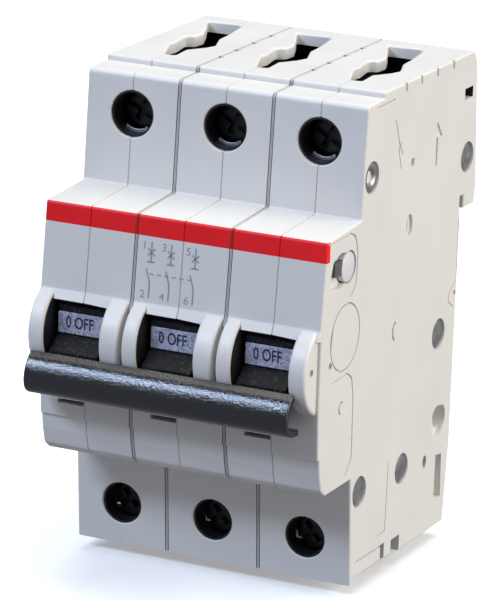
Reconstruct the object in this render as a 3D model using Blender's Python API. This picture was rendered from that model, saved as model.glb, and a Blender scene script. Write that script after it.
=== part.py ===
"""Three-pole rail-mounted miniature circuit breaker, built as separate pieces.

Frame: X across the poles, -Y towards the operator, +Z up. The origin lies in the plane where
the breaker sits on its 35 mm rail, level with the middle of the rail. The handle is down (off).
Lengths below are in millimetres and are turned into metres when the meshes are made.
"""

import math

import bmesh
import bpy
from mathutils import Matrix, Vector

MM = 0.001

# Poles: three modules side by side
POLE_PITCH = 17.5
POLE_CENTRES = (-POLE_PITCH, 0.0, POLE_PITCH)
POLE_HALF = 8.6
GAP = 0.3
SIDE_WALL = 1.25
CAVITY_HALF = POLE_HALF - SIDE_WALL

# Housing, seen from the side (Y, Z)
SHOULDER_Y = -42.8
FRONT_Y = -57.4
TOP_Z = 43.0
BOTTOM_Z = -41.6
RAIL_HALF = 17.6
CHEEK_CENTRE = (-54.0, -0.2)
CHEEK_R = 8.0

# Terminal screws
UPPER_SCREW_Z = 34.9
LOWER_SCREW_Z = -34.5
UPPER_HOLE_R = 4.05
LOWER_HOLE_R = 3.75
SCREW_HEAD_R = 3.3

# Handle
PIVOT = (-53.5, 0.0)
WINDOW_X = (-5.7, 4.9)
WINDOW_Z = (-6.5, 5.4)
TOGGLE_X = (-5.2, 4.4)
DRUM_R = 5.6
LEVER_ANGLE = math.radians(215)
CRANK_R = 4.2
CRANK_ANGLE = math.radians(30)

# Moving contact and its link
CONTACT_PIVOT = (-33.0, 4.0)
CONTACT_PIN = (-42.0, 6.1)
LINK_X = 3.0

# Trip shaft
TRIP_AXIS = (-47.2, 15.8)
TRIP_R = 2.6

# Rivets through all three poles (Y, Z)
RIVETS = {
    "rivet_upper_front": (-39.2, 29.3),
    "rivet_upper_rear": (1.9, 24.3),
    "rivet_middle_rear": (-7.4, -5.6),
    "rivet_lower_middle": (-21.2, -26.5),
    "rivet_lower_front": (-39.0, -25.7),
}
RIVET_SHANK_R = 1.6
RIVET_HEAD_R = 2.6
RIVET_RECESS = 0.75
RIVET_HEAD = 0.5

# Magnetic trip
COIL_AXIS = (0.0, 18.0)
COIL_Y = (-25.0, -8.2)
COIL_TURNS = 7


def clear_scene():
    for obj in list(bpy.data.objects):
        bpy.data.objects.remove(obj, do_unlink=True)


def material(name, colour, roughness, metallic):
    made = bpy.data.materials.new(name)
    made.use_nodes = True
    shader = made.node_tree.nodes["Principled BSDF"]
    shader.inputs["Base Color"].default_value = (*colour, 1.0)
    shader.inputs["Roughness"].default_value = roughness
    shader.inputs["Metallic"].default_value = metallic
    return made


def mesh_from(name, points, faces):
    """A mesh in metres from points in millimetres, with its faces turned outwards."""
    mesh = bpy.data.meshes.new(name)
    mesh.from_pydata([Vector(point) * MM for point in points], [], faces)
    bm = bmesh.new()
    bm.from_mesh(mesh)
    bmesh.ops.remove_doubles(bm, verts=bm.verts, dist=1e-7)
    bmesh.ops.recalc_face_normals(bm, faces=bm.faces)
    bm.to_mesh(mesh)
    bm.free()
    return mesh


def prism(name, outline, low, high, axis="x"):
    """An outline pushed along an axis: (Y, Z) along x, (X, Z) along y, (X, Y) along z."""
    order = {"x": (2, 0, 1), "y": (0, 2, 1), "z": (0, 1, 2)}[axis]
    points = []
    for level in (low, high):
        for a, b in outline:
            values = (a, b, level)
            points.append(tuple(values[order[i]] for i in range(3)))
    count = len(outline)
    faces = [tuple(range(count)), tuple(range(count, 2 * count))]
    for i in range(count):
        j = (i + 1) % count
        faces.append((i, j, count + j, count + i))
    return mesh_from(name, points, faces)


def box(name, x, y, z):
    return prism(name, [(y[0], z[0]), (y[1], z[0]), (y[1], z[1]), (y[0], z[1])], x[0], x[1])


def circle(centre, radius, count=20, start=0.0):
    return [
        (
            centre[0] + radius * math.cos(start + math.tau * i / count),
            centre[1] + radius * math.sin(start + math.tau * i / count),
        )
        for i in range(count)
    ]


def turned(name, profile, centre, axis="y", count=20):
    """A profile of (radius, level) turned about an axis through centre; its ends lie on the axis."""
    order = {"x": (2, 0, 1), "y": (0, 2, 1), "z": (0, 1, 2)}[axis]
    points = []
    rings = []
    for radius, level in profile:
        ring = []
        steps = count if radius > 0 else 1
        for i in range(steps):
            angle = math.tau * i / count
            values = (
                centre[0] + radius * math.cos(angle),
                centre[1] + radius * math.sin(angle),
                level,
            )
            ring.append(len(points))
            points.append(tuple(values[order[k]] for k in range(3)))
        rings.append(ring)
    faces = []
    for first, second in zip(rings, rings[1:]):
        for i in range(count):
            j = (i + 1) % count
            corners = [first[i % len(first)], first[j % len(first)]]
            corners += [second[j % len(second)], second[i % len(second)]]
            unique = list(dict.fromkeys(corners))
            if len(unique) > 2:
                faces.append(tuple(unique))
    return mesh_from(name, points, faces)


def tube(name, path, radius, count=8):
    """A round wire along a path of points, mitred at its corners and closed at its ends."""
    path = [Vector(point) for point in path]
    points = []
    for i, here in enumerate(path):
        before = path[max(i - 1, 0)]
        after = path[min(i + 1, len(path) - 1)]
        into = (here - before).normalized() if i else (after - here).normalized()
        out = (after - here).normalized() if i + 1 < len(path) else into
        along = (into + out).normalized()
        across = into.cross(out)
        if across.length < 1e-6:
            across = into.orthogonal()
        across = across.normalized()
        side = along.cross(across)
        stretch = 1 / max(along.dot(into), 0.3)
        if i == 0:
            first_across = across
        if across.dot(first_across) < 0:
            across, side = -across, -side
        for k in range(count):
            angle = math.tau * k / count
            points.append(
                here + across * radius * math.cos(angle) + side * radius * stretch * math.sin(angle)
            )
    faces = [tuple(range(count)), tuple(range(len(points) - count, len(points)))]
    for i in range(len(path) - 1):
        for k in range(count):
            n = (k + 1) % count
            faces.append(
                (i * count + k, i * count + n, (i + 1) * count + n, (i + 1) * count + k)
            )
    return mesh_from(name, points, faces)


def combined(mesh, others, operation):
    """The mesh joined with, or cut by, each of the others in turn."""
    for other in others:
        target = bpy.data.objects.new("target", mesh)
        tool = bpy.data.objects.new("tool", other)
        bpy.context.scene.collection.objects.link(target)
        bpy.context.scene.collection.objects.link(tool)
        step = target.modifiers.new("step", "BOOLEAN")
        step.operation = operation
        step.solver = "EXACT"
        step.object = tool
        graph = bpy.context.evaluated_depsgraph_get()
        mesh = bpy.data.meshes.new_from_object(target.evaluated_get(graph))
        bpy.data.objects.remove(target, do_unlink=True)
        bpy.data.objects.remove(tool, do_unlink=True)
    return mesh


def cut(mesh, *tools):
    return combined(mesh, tools, "DIFFERENCE")


def joined(mesh, *tools):
    return combined(mesh, tools, "UNION")


def place(name, mesh, x, look, origin=(0.0, 0.0)):
    """An object at pole position x whose origin lies at origin (Y, Z)."""
    mesh = mesh.copy()
    mesh.name = name
    mesh.transform(Matrix.Translation(Vector((0, -origin[0], -origin[1])) * MM))
    mesh.materials.clear()
    mesh.materials.append(look)
    obj = bpy.data.objects.new(name, mesh)
    obj.location = Vector((x, origin[0], origin[1])) * MM
    bpy.context.scene.collection.objects.link(obj)
    return obj


def bulge():
    """The rounded band of the front that the handle windows are cut into."""
    points = []
    for degrees in (236, 218, 200, 182, 164, 146, 130):
        angle = math.radians(degrees)
        points.append(
            (
                CHEEK_CENTRE[0] + CHEEK_R * math.cos(angle),
                CHEEK_CENTRE[1] + CHEEK_R * math.sin(angle),
            )
        )
    return points


def housing_outline():
    """The side view of the housing, from the lower front corner round by the front and the top."""
    outline = [(-41.2, -42.0), (SHOULDER_Y, -22.5), (-53.4, -22.5), (-54.8, -21.0)]
    outline += [(-55.6, -18.5), (-56.1, -15.6), (-56.6, -15.4), (-57.1, -7.2)]
    outline += bulge()
    outline += [(FRONT_Y, 7.1), (-56.0, 20.9), (-55.2, 21.8), (SHOULDER_Y, 22.6)]
    outline += [(-41.7, 41.0), (-40.9, 41.8), (-35.0, 42.0), (-35.0, TOP_Z)]
    outline += [(3.2, TOP_Z), (4.6, 41.0), (6.6, 18.5), (6.0, 15.2), (1.3, 15.2)]
    outline += [(1.3, RAIL_HALF), (-0.4, RAIL_HALF), (-0.4, 15.0), (0.0, 15.0)]
    outline += [(0.0, -27.0), (-1.5, BOTTOM_Z)]
    outline += [(-20.5, BOTTOM_Z), (-29.0, -41.0), (-40.2, -41.0), (-40.2, -42.0)]
    return outline


def cavity_outline():
    outline = [(-39.9, -39.6), (-40.4, -20.9), (-52.8, -20.9), (-54.4, -17.0)]
    outline += [(-55.4, -8.0), (-55.8, 7.0), (-54.4, 20.1), (-41.0, 20.9)]
    outline += [(-39.9, 41.0), (2.6, 41.0), (4.7, 19.5), (-1.6, 19.5)]
    outline += [(-1.6, -14.0), (-6.4, -14.0), (-6.4, -39.6)]
    return outline


def cable_opening():
    """The keyhole-shaped mouth over a terminal (X, Y)."""
    outline = [(-6.1, -1.2), (0.8, -1.2), (2.0, -10.0), (2.2, -13.5), (4.0, -18.8)]
    outline += [(3.2, -21.2), (1.2, -24.4), (1.6, -29.4), (-0.4, -29.6), (-3.3, -21.4)]
    outline += [(-3.0, -19.7), (-3.9, -14.4), (-2.3, -13.8), (-2.1, -10.8), (-3.8, -6.3)]
    return outline


def pole_body():
    """Both half shells of one pole as one piece, centred on X = 0."""
    body = prism("body", housing_outline(), -POLE_HALF, POLE_HALF)
    body = cut(body, prism("cavity", cavity_outline(), -CAVITY_HALF, CAVITY_HALF))
    window = box("window", WINDOW_X, (-64.0, -55.0), WINDOW_Z)
    upper_hole = prism("upper_hole", circle((0, UPPER_SCREW_Z), UPPER_HOLE_R, 24), -45, -38, "y")
    lower_hole = prism("lower_hole", circle((0, LOWER_SCREW_Z), LOWER_HOLE_R, 24), -45, -38, "y")
    upper_mouth = prism("upper_mouth", cable_opening(), 39.0, 45.0, "z")
    lower_mouth = box("lower_mouth", (-3.9, 3.9), (-29.0, -13.5), (-43.5, -38.5))
    body = cut(body, window, upper_hole, lower_hole, upper_mouth, lower_mouth)
    body = cut(body, *rail_clip_channel())
    return cut(body, *side_openings())


def rail_clip_channel():
    inner = box("channel_inner", (-4.9, 4.9), (-5.2, -2.2), (-43.0, -RAIL_HALF))
    outer = box("channel_outer", (-3.8, 3.8), (-2.3, 2.0), (-43.0, -15.8))
    return inner, outer


def side_openings():
    """Rivet seats, the trip shaft's hole and slot, and the small openings in both side walls."""
    tools = []
    for name, centre in RIVETS.items():
        shank = circle(centre, RIVET_SHANK_R + GAP, 12)
        tools.append(prism(name, shank, -POLE_HALF - 1, POLE_HALF + 1))
        seat = circle(centre, RIVET_HEAD_R + 0.2, 16)
        tools.append(prism(name, seat, POLE_HALF - RIVET_RECESS, POLE_HALF + 1))
        tools.append(prism(name, seat, -POLE_HALF - 1, -POLE_HALF + RIVET_RECESS))
    shaft = circle(TRIP_AXIS, TRIP_R + GAP, 16)
    tools.append(prism("shaft_hole", shaft, -POLE_HALF - 1, POLE_HALF + 1))
    slot = [(-54.9, 13.2), (-53.2, 18.6), (-46.0, 18.2), (-46.0, 13.4)]
    tools.append(prism("arm_slot", slot, -POLE_HALF - 1, POLE_HALF + 1))
    tools.append(box("latch_slot", (-9.6, 9.6), (-0.4, 3.1), (34.9, 36.9)))
    tools.append(box("guard_slot", (-9.6, 9.6), (-28.9, -27.2), (-43.0, -38.2)))
    tools.append(box("guard_notch", (-9.6, 9.6), (-24.4, -20.8), (-43.0, -38.6)))
    return tools


def half_shells():
    """The left and right shells. Behind the mechanism their joint steps 2 mm to the right."""
    body = pole_body()
    half = GAP / 2
    right_side = [(-half, -80), (30, -80), (30, 20), (2 - half, 20), (2 - half, -2.6), (-half, -2.6)]
    left_side = [(half, -80), (half, -2.9), (2 + half, -2.9), (2 + half, 20), (-30, 20), (-30, -80)]
    left = cut(body, prism("right_side", right_side, -60, 60, "z"))
    right = cut(body, prism("left_side", left_side, -60, 60, "z"))
    return left, right


def terminal_screw(z, slot_turn):
    """A slotted clamp screw whose tip bears on the terminal bar."""
    profile = [(0, -38.0), (SCREW_HEAD_R - 0.4, -38.0), (SCREW_HEAD_R, -37.6)]
    profile += [(SCREW_HEAD_R, -35.8), (2.45, -35.8), (2.45, -25.9), (1.8, -25.3), (0, -25.3)]
    screw = turned("screw", profile, (0, z), "y", 20)
    slot = box("slot", (-4.0, 4.0), (-39.0, -36.9), (-0.55, 0.55))
    slot.transform(Matrix.Rotation(slot_turn, 4, "Y"))
    cross = box("cross", (-0.55, 0.55), (-39.0, -36.9), (-2.0, 2.0))
    cross.transform(Matrix.Rotation(slot_turn, 4, "Y"))
    for tool in (slot, cross):
        tool.transform(Matrix.Translation(Vector((0, 0, z * MM))))
    return cut(screw, slot, cross)


def terminal_clamp(z):
    """The cage that rises towards the screw head and squeezes the wire against the bar."""
    cage = box("cage", (-5.6, 5.6), (-30.4, -14.8), (z - 4.4, z + 4.4))
    mouth = box("mouth", (-4.4, 4.4), (-28.4, -16.6), (z - 6, z + 6))
    thread = prism("thread", circle((0, z), 2.5, 20), -32, -27, "y")
    return cut(cage, mouth, thread)


def upper_bar():
    """Upper terminal bar, running back over the coil and down behind it as its yoke."""
    outline = [(-25.0, 39.4), (-25.0, 26.4), (-5.4, 26.4), (-5.4, 12.5)]
    outline += [(-4.0, 12.5), (-4.0, 27.8), (-23.6, 27.8), (-23.6, 39.4)]
    return prism("upper_bar", outline, -4.0, 4.0)


def bimetal():
    """Lower terminal bar with the strip that bends when it warms up."""
    outline = [(-23.6, -39.2), (-23.6, -28.0), (-35.4, -28.0), (-35.4, -3.0)]
    outline += [(-36.4, -3.0), (-36.4, -29.4), (-25.0, -29.4), (-25.0, -39.2)]
    return prism("bimetal", outline, -4.0, 4.0)


def coil():
    """Solenoid winding of heavy wire round the plunger's path."""
    low, high = COIL_Y
    pitch = (high - low) / COIL_TURNS
    inner = 3.5
    profile = [(inner, low)]
    for turn in range(COIL_TURNS):
        start = low + turn * pitch
        profile += [(5.1, start), (5.8, start + 0.3 * pitch), (5.8, start + 0.7 * pitch)]
    profile += [(5.1, high), (inner, high)]
    profile.append(profile[0])
    return turned("coil", profile, COIL_AXIS, "y", 16)


def plunger():
    """Armature that strikes the trip lever when a fault current flows."""
    profile = [(0, -39.9), (0.8, -39.9), (1.2, -39.4), (1.2, -24.0), (3.1, -24.0)]
    profile += [(3.1, -11.5), (0, -11.5)]
    return turned("plunger", profile, COIL_AXIS, "y", 14)


def fixed_contact():
    """Fixed contact with its pad, and the runner that leads the arc behind the chute."""
    outline = [(-25.5, 8.6), (-23.6, 8.6), (-23.4, 7.5), (-20.4, 7.5), (-20.2, 8.6)]
    outline += [(-4.2, 8.6), (-4.2, -13.6), (-3.0, -13.6), (-3.0, 9.8), (-25.5, 9.8)]
    return prism("fixed_contact", outline, -3.0, 3.0)


def moving_contact():
    """Contact arm in its open position, with its trunnions and the slot for the link."""
    y, z = CONTACT_PIVOT
    outline = [(y - 11.4, z + 4.5), (y - 11.0, z + 0.9), (y - 2.0, z - 1.5), (y + 3.0, z - 1.9)]
    outline += [(y + 11.8, z - 5.0), (y + 12.8, z - 4.4), (y + 12.9, z - 2.6), (y + 9.4, z - 1.9)]
    outline += [(y + 9.0, z - 2.6), (y + 2.0, z + 1.8), (y - 3.0, z + 2.2), (y - 9.0, z + 4.6)]
    arm = prism("arm", outline, -1.2, 1.2)
    trunnion = prism("trunnion", circle(CONTACT_PIVOT, 1.4, 14), -5.0, 5.0)
    away = Vector((CONTACT_PIN[0] - y, CONTACT_PIN[1] - z)).normalized()
    across = Vector((-away.y, away.x))
    middle = Vector((y, z)) + away * 8.8
    corners = [(1.45, 0.9), (-1.45, 0.9), (-1.45, -0.9), (1.45, -0.9)]
    slot = [tuple(middle + away * a + across * b) for a, b in corners]
    return joined(cut(arm, prism("slot", slot, -3, 3)), trunnion)


def polar(radius, angle):
    return PIVOT[0] + radius * math.cos(angle), PIVOT[1] + radius * math.sin(angle)


def crank_pin():
    return polar(CRANK_R, CRANK_ANGLE)


def drive_link():
    """Bent wire from the handle's crank to the contact arm."""
    start = (LINK_X, *crank_pin())
    end = (LINK_X, *CONTACT_PIN)
    path = [(1.0, *start[1:]), start, end, (-1.0, *end[1:])]
    return tube("link", path, 0.6)


def toggle():
    """Handle of one pole in its off position: drum, two flats for the markings, and the lever."""
    drum = []
    for degrees in (-60, -40, -20, 0, 20, 40, 60, 80, 100, 118, 137, 223, 252, 272, 286):
        drum.append(polar(DRUM_R, math.radians(degrees)))
    low, high = TOGGLE_X
    body = prism("drum", drum, low, high)
    along = Vector((math.cos(LEVER_ANGLE), math.sin(LEVER_ANGLE)))
    across = Vector((-along.y, along.x))
    centre = Vector(PIVOT)
    corners = [(2.5, 1.9), (7.6, 1.85), (8.3, 1.1), (9.2, 1.1), (9.2, -1.1), (8.3, -1.1), (7.6, -1.85)]
    corners.append((2.5, -1.9))
    lever = [tuple(centre + along * a + across * b) for a, b in corners]
    body = joined(body, prism("lever", lever, low + 0.2, high - 0.2))
    axle = prism("axle", circle(PIVOT, 1.5, 14), -6.9, 6.9)
    groove = box("groove", (LINK_X - 0.9, LINK_X + 0.9), (-51.1, -46.0), (0.9, 8.0))
    body = cut(body, groove)
    pin_hole = prism("pin_hole", circle(crank_pin(), 0.9, 12), -0.1, 8.0)
    return joined(cut(body, pin_hole), axle)


def tie_bar():
    """Channel that clips over the three levers so that the poles switch together."""
    outer = [(-61.9, -3.0), (-63.4, -4.1), (-64.3, -5.8), (-64.6, -7.6)]
    outer += [(-64.1, -9.1), (-62.9, -10.0), (-59.4, -10.6)]
    inner = [(-59.5, -9.5), (-62.5, -9.0), (-63.3, -8.3), (-63.5, -7.5)]
    inner += [(-63.2, -6.2), (-62.6, -4.95), (-61.4, -3.9)]
    return prism("tie_bar", outer + inner, -25.2, 23.7)


def trip_shaft():
    """Common trip shaft; its end and coupling arm show in the housing's side."""
    shaft = prism("shaft", circle(TRIP_AXIS, TRIP_R, 20), -26.0, 26.0)
    arm = [(-52.4, 15.0), (-52.4, 17.3), (-46.5, 17.4), (-46.5, 14.6)]
    ends = [prism("arm", arm, 25.2, 25.9), prism("arm", arm, -25.9, -25.2)]
    return joined(shaft, *ends)


def trip_lever():
    """Bell crank on the trip shaft, struck by the plunger and pulled by the bimetal strip."""
    y, z = TRIP_AXIS
    hub = prism("hub", circle(TRIP_AXIS, TRIP_R + 1.6, 16), -6.9, 2.4)
    strike = [(y - 0.4, z + 2), (y + 0.8, 19.9), (-42.3, 19.9), (-42.3, 16.0), (y + 3.4, z - 0.4)]
    hub = joined(hub, prism("strike", strike, -2.0, 2.2))
    hook = [(-46.4, z - 1.5), (-46.4, -0.8), (-34.7, -0.8), (-34.7, -7.0), (-33.4, -7.0)]
    hook += [(-33.4, 0.8), (-44.0, 0.8), (-44.0, z - 1.5)]
    hub = joined(hub, prism("hook", hook, -6.8, -5.6))
    return cut(hub, prism("bore", circle(TRIP_AXIS, TRIP_R + GAP, 20), -9, 9))


def arc_chute():
    """Stack of arc splitter plates held by two insulating cheeks."""
    stack = box("stack", (-6.6, 6.6), (-23.6, -9.8), (-22.4, -4.6))
    plates = 9
    pitch = 17.8 / plates
    slots = []
    for i in range(plates):
        base = -22.4 + i * pitch + 0.55
        slots.append(box("slot", (-5.8, 5.8), (-26, -8), (base, base + pitch - 0.9)))
    return cut(stack, *slots)


def rail_clip():
    """Sliding catch that hooks behind the rail's lower edge, with a slotted pull tab."""
    slide = box("slide", (-4.6, 4.6), (-4.9, -2.5), (-41.3, -RAIL_HALF - GAP))
    spine = box("spine", (-3.5, 3.5), (-3.0, -0.4), (-44.2, -RAIL_HALF - GAP))
    tooth = [(-1.0, -22.5), (-1.0, -17.9), (1.3, -17.9), (1.4, -16.2), (2.4, -16.2)]
    tooth += [(3.7, -18.6), (3.5, -20.4)]
    body = joined(slide, spine, prism("tooth", tooth, -3.5, 3.5))
    return cut(body, box("tab_slot", (-1.9, 1.9), (-4.0, 1.0), (-43.4, -42.3)))


def rivet(centre):
    """Tubular rivet through the three poles, with a dished head sunk into each side."""
    seat = POLE_CENTRES[2] + POLE_HALF - RIVET_RECESS + 0.05
    face = seat + RIVET_HEAD
    half = [(RIVET_SHANK_R, seat), (RIVET_HEAD_R, seat), (RIVET_HEAD_R, face - 0.15)]
    half += [(RIVET_HEAD_R - 0.2, face), (1.5, face), (1.1, face - 0.6), (0, face - 0.6)]
    profile = [(r, -x) for r, x in reversed(half)] + half
    return turned("rivet", profile, centre, "x", 16)


def build():
    clear_scene()
    housing = material("housing", (0.66, 0.66, 0.65), 0.42, 0.0)
    black = material("black_handle", (0.012, 0.012, 0.014), 0.32, 0.0)
    bar_black = material("tie_bar_black", (0.010, 0.010, 0.012), 0.24, 0.0)
    steel = material("zinc_steel", (0.55, 0.56, 0.58), 0.35, 1.0)
    rivet_steel = material("rivet_steel", (0.50, 0.50, 0.50), 0.45, 1.0)
    copper = material("copper", (0.72, 0.36, 0.20), 0.35, 1.0)
    winding = material("winding", (0.55, 0.20, 0.09), 0.30, 1.0)
    strip = material("bimetal_strip", (0.60, 0.56, 0.46), 0.40, 1.0)
    chute = material("chute_fibre", (0.52, 0.18, 0.12), 0.70, 0.0)
    white = material("trip_white", (0.80, 0.80, 0.80), 0.45, 0.0)
    clip_grey = material("clip_grey", (0.20, 0.20, 0.21), 0.50, 0.0)

    left, right = half_shells()
    pieces = [
        ("left_shell", left, housing, (0.0, 0.0)),
        ("right_shell", right, housing, (0.0, 0.0)),
        ("upper_screw", terminal_screw(UPPER_SCREW_Z, 0.5), steel, (0.0, UPPER_SCREW_Z)),
        ("lower_screw", terminal_screw(LOWER_SCREW_Z, -0.7), steel, (0.0, LOWER_SCREW_Z)),
        ("upper_clamp", terminal_clamp(UPPER_SCREW_Z), steel, (0.0, UPPER_SCREW_Z)),
        ("lower_clamp", terminal_clamp(LOWER_SCREW_Z), steel, (0.0, LOWER_SCREW_Z)),
        ("upper_bar", upper_bar(), copper, (0.0, 0.0)),
        ("bimetal", bimetal(), strip, (0.0, 0.0)),
        ("coil", coil(), winding, (0.0, 0.0)),
        ("plunger", plunger(), steel, (-24.0, COIL_AXIS[1])),
        ("fixed_contact", fixed_contact(), copper, (0.0, 0.0)),
        ("moving_contact", moving_contact(), copper, CONTACT_PIVOT),
        ("drive_link", drive_link(), steel, crank_pin()),
        ("toggle", toggle(), black, PIVOT),
        ("trip_lever", trip_lever(), white, TRIP_AXIS),
        ("arc_chute", arc_chute(), chute, (0.0, 0.0)),
        ("rail_clip", rail_clip(), clip_grey, (0.0, -RAIL_HALF)),
    ]
    for number, x in enumerate(POLE_CENTRES, start=1):
        for name, mesh, look, origin in pieces:
            place(f"{name}_{number}", mesh, x, look, origin)
    place("handle_tie_bar", tie_bar(), 0.0, bar_black, PIVOT)
    place("trip_shaft", trip_shaft(), 0.0, white, TRIP_AXIS)
    for name, centre in RIVETS.items():
        place(name, rivet(centre), 0.0, rivet_steel, (0.0, 0.0))


build()
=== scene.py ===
"""Looks of the three-pole circuit breaker: housing, handles, marks, materials, light and camera.

Lengths are in millimetres in the frame of the CAD model and become metres when meshes are made.
"""

import math

import bmesh
import bpy
from mathutils import Matrix, Vector
from mathutils.geometry import intersect_point_line


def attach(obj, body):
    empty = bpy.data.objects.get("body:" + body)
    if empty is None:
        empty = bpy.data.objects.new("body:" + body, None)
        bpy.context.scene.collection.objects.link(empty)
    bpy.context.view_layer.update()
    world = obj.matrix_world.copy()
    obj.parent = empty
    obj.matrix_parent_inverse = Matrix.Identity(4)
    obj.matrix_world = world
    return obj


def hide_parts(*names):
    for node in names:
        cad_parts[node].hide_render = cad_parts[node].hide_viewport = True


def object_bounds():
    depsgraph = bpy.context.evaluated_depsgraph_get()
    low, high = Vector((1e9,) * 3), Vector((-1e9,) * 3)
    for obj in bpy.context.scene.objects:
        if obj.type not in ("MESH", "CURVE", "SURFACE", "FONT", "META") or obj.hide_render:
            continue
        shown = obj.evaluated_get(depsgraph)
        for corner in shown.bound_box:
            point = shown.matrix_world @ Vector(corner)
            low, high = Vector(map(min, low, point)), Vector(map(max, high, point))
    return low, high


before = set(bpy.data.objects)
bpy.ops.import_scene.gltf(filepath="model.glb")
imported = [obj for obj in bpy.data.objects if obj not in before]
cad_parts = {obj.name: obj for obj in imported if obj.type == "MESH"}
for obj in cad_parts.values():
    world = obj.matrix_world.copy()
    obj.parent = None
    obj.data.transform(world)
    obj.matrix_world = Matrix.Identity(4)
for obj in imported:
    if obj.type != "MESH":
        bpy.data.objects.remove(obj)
cad_box = [list(corner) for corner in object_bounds()]

MM = 0.001
PITCH = 17.5
CENTRES = {1: -PITCH, 2: 0.0, 3: PITCH}
HALF_WIDTH = 26.1
OUTER_HALF = 8.6
SEAM_HALF = 8.745
SEAM_GROOVE = (8.42, 8.56)
CAVITY_HALF = 7.35
PIVOT = (-53.5, 0.0)
WINDOW_X = (-5.75, 4.95)
CHEEK_INNER = (5.7, 4.9)
WINDOW_Z = (-6.5, 5.4)
SCREW_Z = {"upper": 34.9, "lower": -34.5}
HOLE_R = {"upper": 4.05, "lower": 3.75}
BORE_FRONT = {"upper": -41.62, "lower": -41.3}
TRIP_AXIS = (-47.2, 15.8)
RIVET_HOLE = (2.78, 0.75)
RIVET_SEAT = 0.7
LABEL_FOOT = (-57.4, 7.2)
LABEL_TOP = (-55.95, 21.85)
LABEL_UPRIGHT = 0.995
PLATE_X = (-4.85, 4.1)
ON_TURN = math.radians(80)
SHARP_ANGLE = math.radians(32)
LEVER_ANGLE = math.radians(215)
BAND_Z = (18.35, 21.75)
BAND_WRAP_Y = -55.0
RIVETS = {
    "rivet_upper_front": (-39.2, 29.3),
    "rivet_upper_rear": (1.9, 24.3),
    "rivet_middle_rear": (-7.4, -5.6),
    "rivet_lower_middle": (-21.2, -26.5),
    "rivet_lower_front": (-39.0, -25.7),
}


# ---------------------------------------------------------------- meshes


def mesh_from(name, points, faces):
    """A mesh in metres from points in millimetres, with its faces turned outwards."""
    mesh = bpy.data.meshes.new(name)
    mesh.from_pydata([Vector(point) * MM for point in points], [], faces)
    bm = bmesh.new()
    bm.from_mesh(mesh)
    bmesh.ops.remove_doubles(bm, verts=bm.verts, dist=1e-8)
    bmesh.ops.recalc_face_normals(bm, faces=bm.faces)
    bm.to_mesh(mesh)
    bm.free()
    return mesh


def rounded(corners, steps=5):
    """A closed outline with each corner (a, b, radius) turned into an arc."""
    outline = []
    count = len(corners)
    for i in range(count):
        here = Vector(corners[i][:2])
        radius = corners[i][2]
        to_last = Vector(corners[i - 1][:2]) - here
        to_next = Vector(corners[(i + 1) % count][:2]) - here
        if radius <= 0:
            outline.append(tuple(here))
            continue
        angle = to_last.angle(to_next)
        reach = radius / math.tan(angle / 2)
        reach = min(reach, 0.48 * to_last.length, 0.48 * to_next.length)
        start = here + to_last.normalized() * reach
        end = here + to_next.normalized() * reach
        for k in range(steps + 1):
            t = k / steps
            point = start * (1 - t) ** 2 + here * 2 * t * (1 - t) + end * t * t
            outline.append(tuple(point))
    return outline


def inset(outline, distance):
    """The outline moved inwards by a distance, mitred at its corners."""
    count = len(outline)
    area = sum(
        outline[i - 1][0] * outline[i][1] - outline[i][0] * outline[i - 1][1]
        for i in range(count)
    )
    side = 1 if area > 0 else -1
    moved = []
    for i in range(count):
        here = Vector(outline[i])
        into = (here - Vector(outline[i - 1])).normalized()
        out = (Vector(outline[(i + 1) % count]) - here).normalized()
        first = Vector((-into.y, into.x)) * side
        second = Vector((-out.y, out.x)) * side
        mitre = (first + second) / max(1 + first.dot(second), 0.25)
        moved.append(tuple(here + mitre * distance))
    return moved


def layered(name, outline, layers, axis="x"):
    """An outline stacked along an axis; each layer is (level, how far the outline is inset)."""
    order = {"x": (2, 0, 1), "y": (0, 2, 1), "z": (0, 1, 2)}[axis]
    points = []
    for level, distance in layers:
        for a, b in inset(outline, distance) if distance else outline:
            values = (a, b, level)
            points.append(tuple(values[order[k]] for k in range(3)))
    count = len(outline)
    last = count * (len(layers) - 1)
    faces = [tuple(range(count)), tuple(range(last, last + count))]
    for ring in range(len(layers) - 1):
        for i in range(count):
            j = (i + 1) % count
            low, high = ring * count, (ring + 1) * count
            faces.append((low + i, low + j, high + j, high + i))
    return mesh_from(name, points, faces)


def prism(name, outline, low, high, axis="x"):
    return layered(name, outline, [(low, 0), (high, 0)], axis)


def soft_prism(name, outline, low, high, radius, axis="x", steps=3):
    """A prism whose two end edges are rounded."""
    ends = [math.radians(90 * k / steps) for k in range(steps + 1)]
    first = [(low + radius * (1 - math.sin(a)), radius * (1 - math.cos(a))) for a in reversed(ends)]
    last = [(high - radius * (1 - math.sin(a)), radius * (1 - math.cos(a))) for a in ends]
    return layered(name, outline, first + last, axis)


def box(name, x, y, z):
    return prism(name, box_outline(y, z), x[0], x[1])


def box_outline(a, b):
    return [(a[0], b[0]), (a[1], b[0]), (a[1], b[1]), (a[0], b[1])]


def soft_box(a, b, radius):
    """A rectangle with rounded corners."""
    return rounded([(*corner, radius) for corner in box_outline(a, b)], 3)


def circle(centre, radius, count=48, stretch=1.0):
    return [
        (
            centre[0] + radius * math.cos(math.tau * i / count),
            centre[1] + radius * stretch * math.sin(math.tau * i / count),
        )
        for i in range(count)
    ]


def ring_cutter(name, centre, radius, width, low, high):
    """A ring for cutting a round groove."""
    outer = prism(name, circle(centre, radius + width / 2), low, high)
    return cut(outer, prism(name, circle(centre, radius - width / 2), low - 1, high + 1))


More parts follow.
